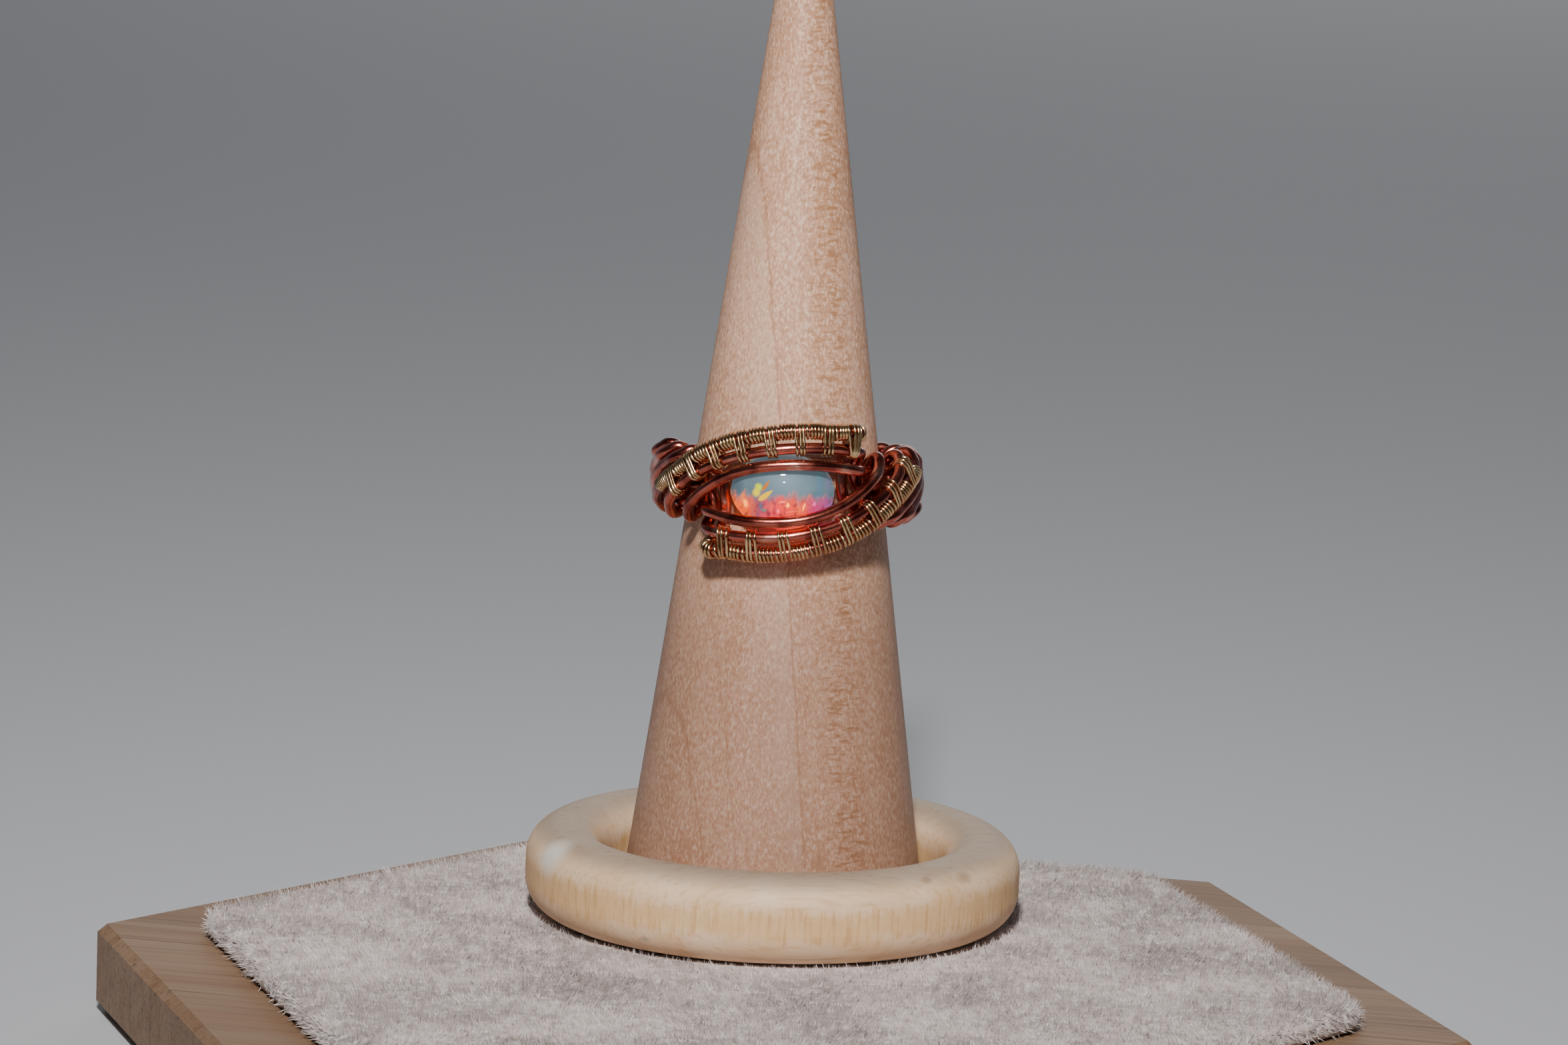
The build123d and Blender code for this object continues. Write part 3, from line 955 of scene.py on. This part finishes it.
# %% Leaves and polish
Leaf = namedtuple("Leaf", "foot tip half_width shade")
LEAVES = [
    Leaf((-1.75, 0.2), (-1.05, 1.25), 0.17, "#66360C"),
    Leaf((-2.05, -0.7), (-0.7, 0.38), 0.3, "#7C6000"),
]
for patch in LEAVES:
    inside = leaf(patch.foot, patch.tip, patch.half_width)
    painted_glow = lay(tree, painted_glow, patch.shade, inside, 0.0, 0.4)
    body = lay(tree, body, patch.shade, inside, 0.0, 0.4)
wire_up(tree, shader, Base_Color=body, Emission_Color=painted_glow)
# the strength of the painted glow
shader.inputs["Emission Strength"].default_value = 6
shader.inputs["Roughness"].default_value = 0.05
shader.inputs["IOR"].default_value = 1.45
paint(opal, opal_finish)
print(opal_finish.name, len(tree.nodes), "nodes")

# %% [markdown]
# ## The cone's wood
# The cone is turned from a fine-grained pale wood such as maple and sanded. Its rays are thin
# ribbons that run out from the tree's heart. Where the surface lies along them they show as
# brown rungs, one above the other, and further round they are cut across and shrink to small
# dashes. Two noises in long flat cells, turned to the rays' direction, give them, and a mask
# keeps them to that side. A noise in rounder cells gives the soft flecks everywhere, and a very
# fine upright one the fibres.

# %% Cone wood: rays and fibres
RAY_DIRECTION = radians(31)
maple, tree, shader = new_material("sanded_maple")
middle = (cone_axis.x, cone_axis.y, cone_bottom)
ray_space = space_in_mm(tree, middle, (0, 0, RAY_DIRECTION))
along_rays = add(tree, "ShaderNodeSeparateXYZ", {0: ray_space})
from_ladder = add(tree, "ShaderNodeMath", {0: along_rays.outputs["X"]}, operation="ABSOLUTE")
rungs = add(tree, "ShaderNodeTexNoise",
            {"Vector": space_in_mm(tree, middle, (0, 0, RAY_DIRECTION), (1.5, 0.26, 0.36)),
             "Scale": 1, "Detail": 2})
dashes = add(tree, "ShaderNodeTexNoise",
             {"Vector": space_in_mm(tree, middle, (0, 0, RAY_DIRECTION), (1.1, 0.13, 0.34)),
              "Scale": 1, "Detail": 2})
fibres = add(tree, "ShaderNodeTexNoise",
             {"Vector": space_in_mm(tree, middle, cell=(0.19, 0.19, 0.42)), "Scale": 1,
              "Detail": 3})
clouds = add(tree, "ShaderNodeTexNoise",
             {"Vector": space_in_mm(tree, middle, cell=(3.5, 3.5, 12)), "Scale": 1, "Detail": 3})
soft_flecks = add(tree, "ShaderNodeTexNoise",
                  {"Vector": space_in_mm(tree, middle, (0, 0, RAY_DIRECTION), (0.5, 0.26, 0.5)),
                   "Scale": 1, "Detail": 2})
wood = lay(tree, "#D0A083", "#C39070", clouds, 0.4, 0.7)
wood = lay(tree, wood, "#E8C0A4", fibres, 0.5, 0.7)
wood = lay(tree, wood, "#B48262", fibres, 0.47, 0.3)
wood = lay(tree, wood, "#AA7A58", soft_flecks, 0.52, 0.68, 0.55)
wood = lay(tree, wood, "#E8CCB6", soft_flecks, 0.44, 0.28, 0.55)
ladder = lay(tree, wood, "#A47048", dashes, 0.52, 0.66, 0.5)
ladder = lay(tree, ladder, "#9E6A40", rungs, 0.53, 0.66, 0.7)
wood = lay(tree, wood, ladder, from_ladder, 3.2, 0.9)
print("rays run at", round(degrees(RAY_DIRECTION)), "degrees")

# %% [markdown]
# Growth rings are cylinders about the tree's heart, so the cone cuts them in pointed arches. Each
# darkens slowly, ends in a thin brown line, and the next one starts pale. The lines' distances
# from the cone's axis, positive away from the heart, are read from the photograph, so they are
# listed as the stops of a colour ramp.

# %% Cone wood: growth rings
HEART_DIRECTION, HEART_AWAY = radians(27), 60.0
RAMP_REACH = 16.0
WAVINESS = 0.6
LINES = [-11.4, -7.6, 4.5, 9.2, 11.1, 13.6]
ACROSS_A_LINE = [(-0.9, "#000000"), (-0.1, "#606060"), (0.0, "#FFFFFF"), (0.12, "#000000")]
ACROSS_PALE_WOOD = [(4.6, "#000000"), (4.8, "#FFFFFF"), (7.2, "#000000")]


def on_the_ramp(away):
    """Where a distance from the cone's axis falls on the ramp, from 0 to 1."""
    return (away + RAMP_REACH) / (2 * RAMP_REACH)


heart = Vector((cos(HEART_DIRECTION), sin(HEART_DIRECTION), 0)) * HEART_AWAY + Vector(middle)
from_heart = add(tree, "ShaderNodeVectorMath", {0: space_in_mm(tree, heart), 1: (1, 1, 0)},
                 operation="MULTIPLY")
distance = add(tree, "ShaderNodeVectorMath", {0: from_heart}, operation="LENGTH").outputs["Value"]
wavy = add(tree, "ShaderNodeMath", {0: clouds.outputs["Fac"], 1: WAVINESS, 2: distance},
           operation="MULTIPLY_ADD")
ramp_middle = HEART_AWAY + WAVINESS / 2
from_axis = add(tree, "ShaderNodeMapRange",
                {"Value": wavy, "From Min": ramp_middle - RAMP_REACH,
                 "From Max": ramp_middle + RAMP_REACH})
line_stops = []
for line in LINES:
    line_stops += [(on_the_ramp(line + beside), shade) for beside, shade in ACROSS_A_LINE]
pale_stops = [(on_the_ramp(away), shade) for away, shade in ACROSS_PALE_WOOD]
late = add(tree, "ShaderNodeValToRGB", {"Fac": from_axis}, stops=line_stops)
wood = lay(tree, wood, "#A06A4A", late, 0, 1, 0.5)
early = add(tree, "ShaderNodeValToRGB", {"Fac": from_axis}, stops=pale_stops)
wood = lay(tree, wood, "#D2B096", early, 0, 1, 0.35)
print("growth rings shown:", len(LINES))

# %% [markdown]
# The wood gets darker towards the foot. Sanding leaves a fine nap, and the surface is satin, a
# little glossier where the fibres lie open.

# %% Cone wood: darker foot, nap and gloss
DARK_FROM, DARKEST_AT = 46, 22

height = along_rays.outputs["Z"]
wood = lay(tree, wood, "#664636", height, DARK_FROM, DARKEST_AT, 0.48)
nap = add(tree, "ShaderNodeTexNoise",
          {"Vector": space_in_mm(tree, middle, cell=(0.13, 0.13, 0.45)), "Scale": 1, "Detail": 2})
gloss = add(tree, "ShaderNodeMapRange",
            {"Value": fibres.outputs["Fac"], "To Min": 0.34, "To Max": 0.6})
sanded = add(tree, "ShaderNodeBump",
             {"Height": nap.outputs["Fac"], "Strength": 0.45, "Distance": 0.04 * MM})
wire_up(tree, shader, Base_Color=wood, Roughness=gloss, Normal=sanded)
paint(frame["nodes"]["ring_cone"], maple)
print(maple.name, len(tree.nodes), "nodes")

# %% [markdown]
# ## The collar's wood
# The loose collar is turned from a paler, creamier wood. A lathe tool has scraped a band round
# its outside, which shows as a row of short upright yellow-brown streaks. The top has fine grey
# pores, and a whitish scuff shows at the left shoulder.

# %% Collar wood: grain
GRAIN_TURN = (0, 0, radians(8))

collar_low, collar_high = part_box("wooden_collar")
collar_centre = (cone_axis.x, cone_axis.y, (collar_low.z + collar_high.z) / 2 / MM)
birch, tree, shader = new_material("turned_birch")
here = add(tree, "ShaderNodeSeparateXYZ", {0: space_in_mm(tree, collar_centre)})
streaks = add(tree, "ShaderNodeTexNoise",
              {"Vector": space_in_mm(tree, collar_centre, cell=(0.38, 0.38, 3.2)), "Scale": 1,
               "Detail": 3, "Roughness": 0.65})
mottle = add(tree, "ShaderNodeTexNoise",
             {"Vector": space_in_mm(tree, collar_centre, cell=(6, 5, 3)), "Scale": 1, "Detail": 3})
grain = add(tree, "ShaderNodeTexNoise",
            {"Vector": space_in_mm(tree, collar_centre, GRAIN_TURN, (4.5, 0.3, 0.5)), "Scale": 1,
             "Detail": 3})
pores = add(tree, "ShaderNodeTexNoise",
            {"Vector": space_in_mm(tree, collar_centre, GRAIN_TURN, (1.3, 0.16, 0.3)), "Scale": 1,
             "Detail": 1})
wood = lay(tree, "#E6C6A4", "#DCB68E", mottle, 0.3, 0.7)
wood = lay(tree, wood, "#CDA070", grain, 0.45, 0.8, 0.8)
print("collar's middle at", [round(v, 1) for v in collar_centre])

# %% [markdown]
# The scraped band ends raggedly, so two noises are taken off the height that bounds it. The top
# is darkened from the shoulder up.

# %% Collar wood: scraped band and top
off_middle = add(tree, "ShaderNodeMath", {0: here.outputs["Z"]}, operation="ABSOLUTE")
patchy = add(tree, "ShaderNodeMath", {0: mottle.outputs["Fac"], 1: -2.6, 2: off_middle},
             operation="MULTIPLY_ADD")
raggedness = add(tree, "ShaderNodeMath", {0: streaks.outputs["Fac"], 1: -3.0, 2: patchy},
                 operation="MULTIPLY_ADD")
streaked = lay(tree, "#DDB27C", "#C6955A", streaks, 0.44, 0.7)
wood = lay(tree, wood, streaked, raggedness, -0.9, -2.2, 0.75)
upper = add(tree, "ShaderNodeMapRange",
            {"Value": here.outputs["Z"], "From Min": 2.4, "From Max": 3.9})
pore = add(tree, "ShaderNodeMath", {0: upper, 1: pores.outputs["Fac"]}, operation="MULTIPLY")
wood = lay(tree, wood, "#8A7C6E", upper, 0, 1, 0.75)
wood = lay(tree, wood, "#836A56", pore, 0.57, 0.7, 0.7)
print("nodes for the collar so far:", len(tree.nodes))

# %% [markdown]
# Marks of use are single spots, each with its own place: a whitish scuff on the left shoulder,
# a small grey-green stain low on the front, and two brown spots at the right shoulder. A mark's
# angle is in degrees from the front, and its height is in millimetres above the collar's middle.

# %% Marks on the collar
MARKS_INSET = 1
Mark = namedtuple("Mark", "angle height size shade strength")
MARKS = [
    Mark(-65, 2.6, (3.0, 3.0, 2.2), "#DAD0C2", 1.0),
    Mark(-30, -2.3, (0.9, 1.2, 0.5), "#7C7F70", 0.8),
    Mark(52, 2.9, (1.6, 1.4, 0.7), "#9A7858", 0.6),
    Mark(40, 3.4, (0.9, 0.9, 0.5), "#8A6A4C", 0.6),
]
out = (collar_high.x - collar_low.x) / 2 / MM - MARKS_INSET
for mark in MARKS:
    angle = radians(mark.angle)
    spot = Vector(collar_centre) + Vector((out * sin(angle), -out * cos(angle), mark.height))
    near = add(tree, "ShaderNodeTexGradient",
               {"Vector": space_in_mm(tree, spot, (0, 0, angle), mark.size)},
               gradient_type="SPHERICAL")
    wood = lay(tree, wood, mark.shade, near, 0, 0.8, mark.strength)
turned_marks = add(tree, "ShaderNodeTexNoise",
                   {"Vector": space_in_mm(tree, collar_centre, cell=(0.3, 0.3, 0.12)), "Scale": 1})
scraped = add(tree, "ShaderNodeBump",
              {"Height": turned_marks.outputs["Fac"], "Strength": 0.2, "Distance": 0.03 * MM})
wire_up(tree, shader, Base_Color=wood, Normal=scraped)
shader.inputs["Roughness"].default_value = 0.6
paint(frame["nodes"]["wooden_collar"], birch)
print(birch.name, len(tree.nodes), "nodes")

# %% [markdown]
# ## Bamboo
# The board is glued from bamboo strips about 7 mm wide, side by side from corner to corner.
# Each strip has its own tone, and its fibres run lengthwise as fine brown lines, which show as
# dots on the cut ends. A knuckle of the cane crosses a strip here and there.

# %% Bamboo: strips and fibres
BOARD_TURN = (0, 0, radians(-11.7))
STRIP_WIDTH, STRIPS_FROM = 7.0, (0, 2.2, 0)

bamboo, tree, shader = new_material("laminated_bamboo")
lengthwise = add(tree, "ShaderNodeSeparateXYZ", {0: space_in_mm(tree, STRIPS_FROM, BOARD_TURN)})
strip = add(tree, "ShaderNodeMath", {0: lengthwise.outputs["Y"], 1: STRIP_WIDTH},
            operation="DIVIDE")
strip_number = add(tree, "ShaderNodeMath", {0: strip}, operation="FLOOR")
strip_tone = add(tree, "ShaderNodeTexWhiteNoise", {"W": strip_number}, noise_dimensions="1D")
lines = add(tree, "ShaderNodeTexNoise",
            {"Vector": space_in_mm(tree, turn=BOARD_TURN, cell=(38, 0.42, 0.42)), "Scale": 1,
             "Detail": 3, "Roughness": 0.7})
broad = add(tree, "ShaderNodeTexNoise",
            {"Vector": space_in_mm(tree, turn=BOARD_TURN, cell=(70, 2.2, 3)), "Scale": 1,
             "Detail": 2})
cane = lay(tree, "#8E7259", "#785E46", strip_tone)
cane = lay(tree, cane, "#826248", broad, 0.35, 0.7)
cane = lay(tree, cane, "#5A3E2A", lines, 0.5, 0.72, 0.9)
print("strips", STRIP_WIDTH, "mm wide")

# %% [markdown]
# A thin dark line of glue runs between two strips. A knuckle is a dark line across one strip, and
# each strip's own random number shifts its knuckles along, so they don't line up.

# %% Bamboo: glue lines, knuckles and gloss
KNUCKLES_APART = 210

in_strip = add(tree, "ShaderNodeMath", {0: strip}, operation="FRACT")
glue_line = add(tree, "ShaderNodeValToRGB", {"Fac": in_strip},
                stops=[(0.0, "#FFFFFF"), (0.025, "#000000"), (0.975, "#000000"), (1.0, "#FFFFFF")])
cane = lay(tree, cane, "#4A3220", glue_line, 0, 1, 0.45)
stagger = add(tree, "ShaderNodeMath",
              {0: lengthwise.outputs["X"], 1: 1 / KNUCKLES_APART, 2: strip_tone.outputs["Value"]},
              operation="MULTIPLY_ADD")
along_cane = add(tree, "ShaderNodeMath", {0: stagger}, operation="FRACT")
knuckle = add(tree, "ShaderNodeValToRGB", {"Fac": along_cane},
              stops=[(0.0, "#000000"), (0.494, "#000000"), (0.5, "#FFFFFF"), (0.506, "#000000")])
cane = lay(tree, cane, "#523824", knuckle, 0, 1, 0.5)
furrows = add(tree, "ShaderNodeBump",
              {"Height": lines.outputs["Fac"], "Strength": 0.25, "Distance": 0.05 * MM})
satin = add(tree, "ShaderNodeMapRange",
            {"Value": lines.outputs["Fac"], "To Min": 0.55, "To Max": 0.75})
wire_up(tree, shader, Base_Color=cane, Roughness=satin, Normal=furrows)
paint(frame["nodes"]["display_board"], bamboo)
print(bamboo.name, len(tree.nodes), "nodes")

# %% [markdown]
# ## Velvet
# Velvet looks pale where light grazes its fibres and darker where one looks into the pile. The
# shader's sheen gives that pale edge. A wide noise paints the brushed patches paler and darker, a
# painted shade of pile that leans this way and that, and a fine one gives each tuft its own tone.

# %% Velvet
velvet_finish, tree, shader = new_material("short_pile_velvet")
brushed_shade = add(tree, "ShaderNodeTexNoise",
              {"Vector": space_in_mm(tree, cell=(10, 8, 8)), "Scale": 1, "Detail": 3})
tufts = add(tree, "ShaderNodeTexNoise",
            {"Vector": space_in_mm(tree, cell=(0.9, 0.9, 0.9)), "Scale": 1, "Detail": 2})
# painted shade: brushed patches of pile, paler or darker as light catches them
pile_tone = lay(tree, "#C8B9B3", "#A2948E", brushed_shade, 0.35, 0.65)
pile_tone = lay(tree, pile_tone, "#E8DEDA", tufts, 0.48, 0.7, 0.7)
pile_tone = lay(tree, pile_tone, "#85766F", tufts, 0.47, 0.3, 0.6)
tuft_bump = add(tree, "ShaderNodeBump",
                {"Height": tufts.outputs["Fac"], "Strength": 0.5, "Distance": 0.3 * MM})
wire_up(tree, shader, Base_Color=pile_tone, Normal=tuft_bump)
shader.inputs["Roughness"].default_value = 0.8
shader.inputs["Sheen Weight"].default_value = 0.35
shader.inputs["Sheen Roughness"].default_value = 0.4
paint(velvet, velvet_finish)
paint(pile, velvet_finish)
print(velvet_finish.name, len(tree.nodes), "nodes")

# %% [markdown]
# ## The floor
# The stand rests on a plain pale floor, a hair below it, so that the two faces don't fight. The
# floor is stage and not part of the object.

# %% Floor
FLOOR_SIZE, FLOOR_BELOW = 8, 0.0002

bpy.ops.object.select_all(action="DESELECT")
bpy.ops.mesh.primitive_plane_add(size=FLOOR_SIZE, location=(0, 0, -FLOOR_BELOW))
pale_floor = bpy.context.object
pale_floor.name = "floor"
floor_finish, tree, shader = new_material("pale_floor")
shader.inputs["Base Color"].default_value = colour("#BEBEC0")
shader.inputs["Roughness"].default_value = 0.9
paint(pale_floor, floor_finish)
print("floor", FLOOR_SIZE, "m wide")

# %% [markdown]
# ## The room's light
# Polished metal shows the room. One that is dim behind the camera and brighter beyond the ring
# gives the wires their dark middles and paler edges, and keeps the shadows soft. It is a world
# shader that reads only the direction of the light.

# %% Room light
ROOM_DIM, ROOM_BRIGHT = 0.04, 0.24

world = bpy.data.worlds.new("studio")
world.use_nodes = True
bpy.context.scene.world = world
room = world.node_tree
towards = add(room, "ShaderNodeTexCoord").outputs["Generated"]
facing = add(room, "ShaderNodeSeparateXYZ", {0: towards})
room_light = add(room, "ShaderNodeMapRange",
                 {"Value": facing.outputs["Y"], "From Min": -0.2, "From Max": 0.9,
                  "To Min": ROOM_DIM, "To Max": ROOM_BRIGHT}, interpolation_type="SMOOTHSTEP")
background = room.nodes["Background"]
background.inputs["Color"].default_value = colour("#D0DCEE")
room.links.new(room_light.outputs[0], background.inputs["Strength"])
print("room light from", ROOM_DIM, "in front to", ROOM_BRIGHT, "behind")

# %% [markdown]
# ## Lamps
# The main lamp is small and stands above the camera, so the ring throws a clear shadow below
# itself. A very weak one near the lens puts the highlight in the middle of the opal, and a wide
# weak one broadens the highlights on the wires. A large soft one far behind lights the floor
# there and the back of the stand. Places are in metres, powers in watts.


# %% Lamps
def lamp(name, place, target, size, spread, power):
    """A square area lamp with a beam of one spread, pointing at a target."""
    bpy.ops.object.select_all(action="DESELECT")
    bpy.ops.object.light_add(type="AREA", location=place)
    light = bpy.context.object
    light.name = name
    light.data.size = size
    light.data.spread = radians(spread)
    light.data.energy = power
    light.rotation_euler = (Vector(target) - Vector(place)).to_track_quat("-Z", "Y").to_euler()
    print(name, power, "W")


lamp("lamp_above_camera", (-0.035, -0.52, 0.47), (0, 0, 0.075), 0.06, 75, 1.08)
lamp("flash_beside_camera", (-0.02, -0.6, 0.27), (0, 0, 0.06), 0.02, 40, 0.01)
lamp("wide_reflector", (-0.03, -0.6, 0.42), (0, 0, 0.06), 0.34, 60, 0.022)
lamp("soft_lamp_behind", (0.2, 1.4, 0.55), (0, 0.2, 0.04), 0.9, 150, 2.4)
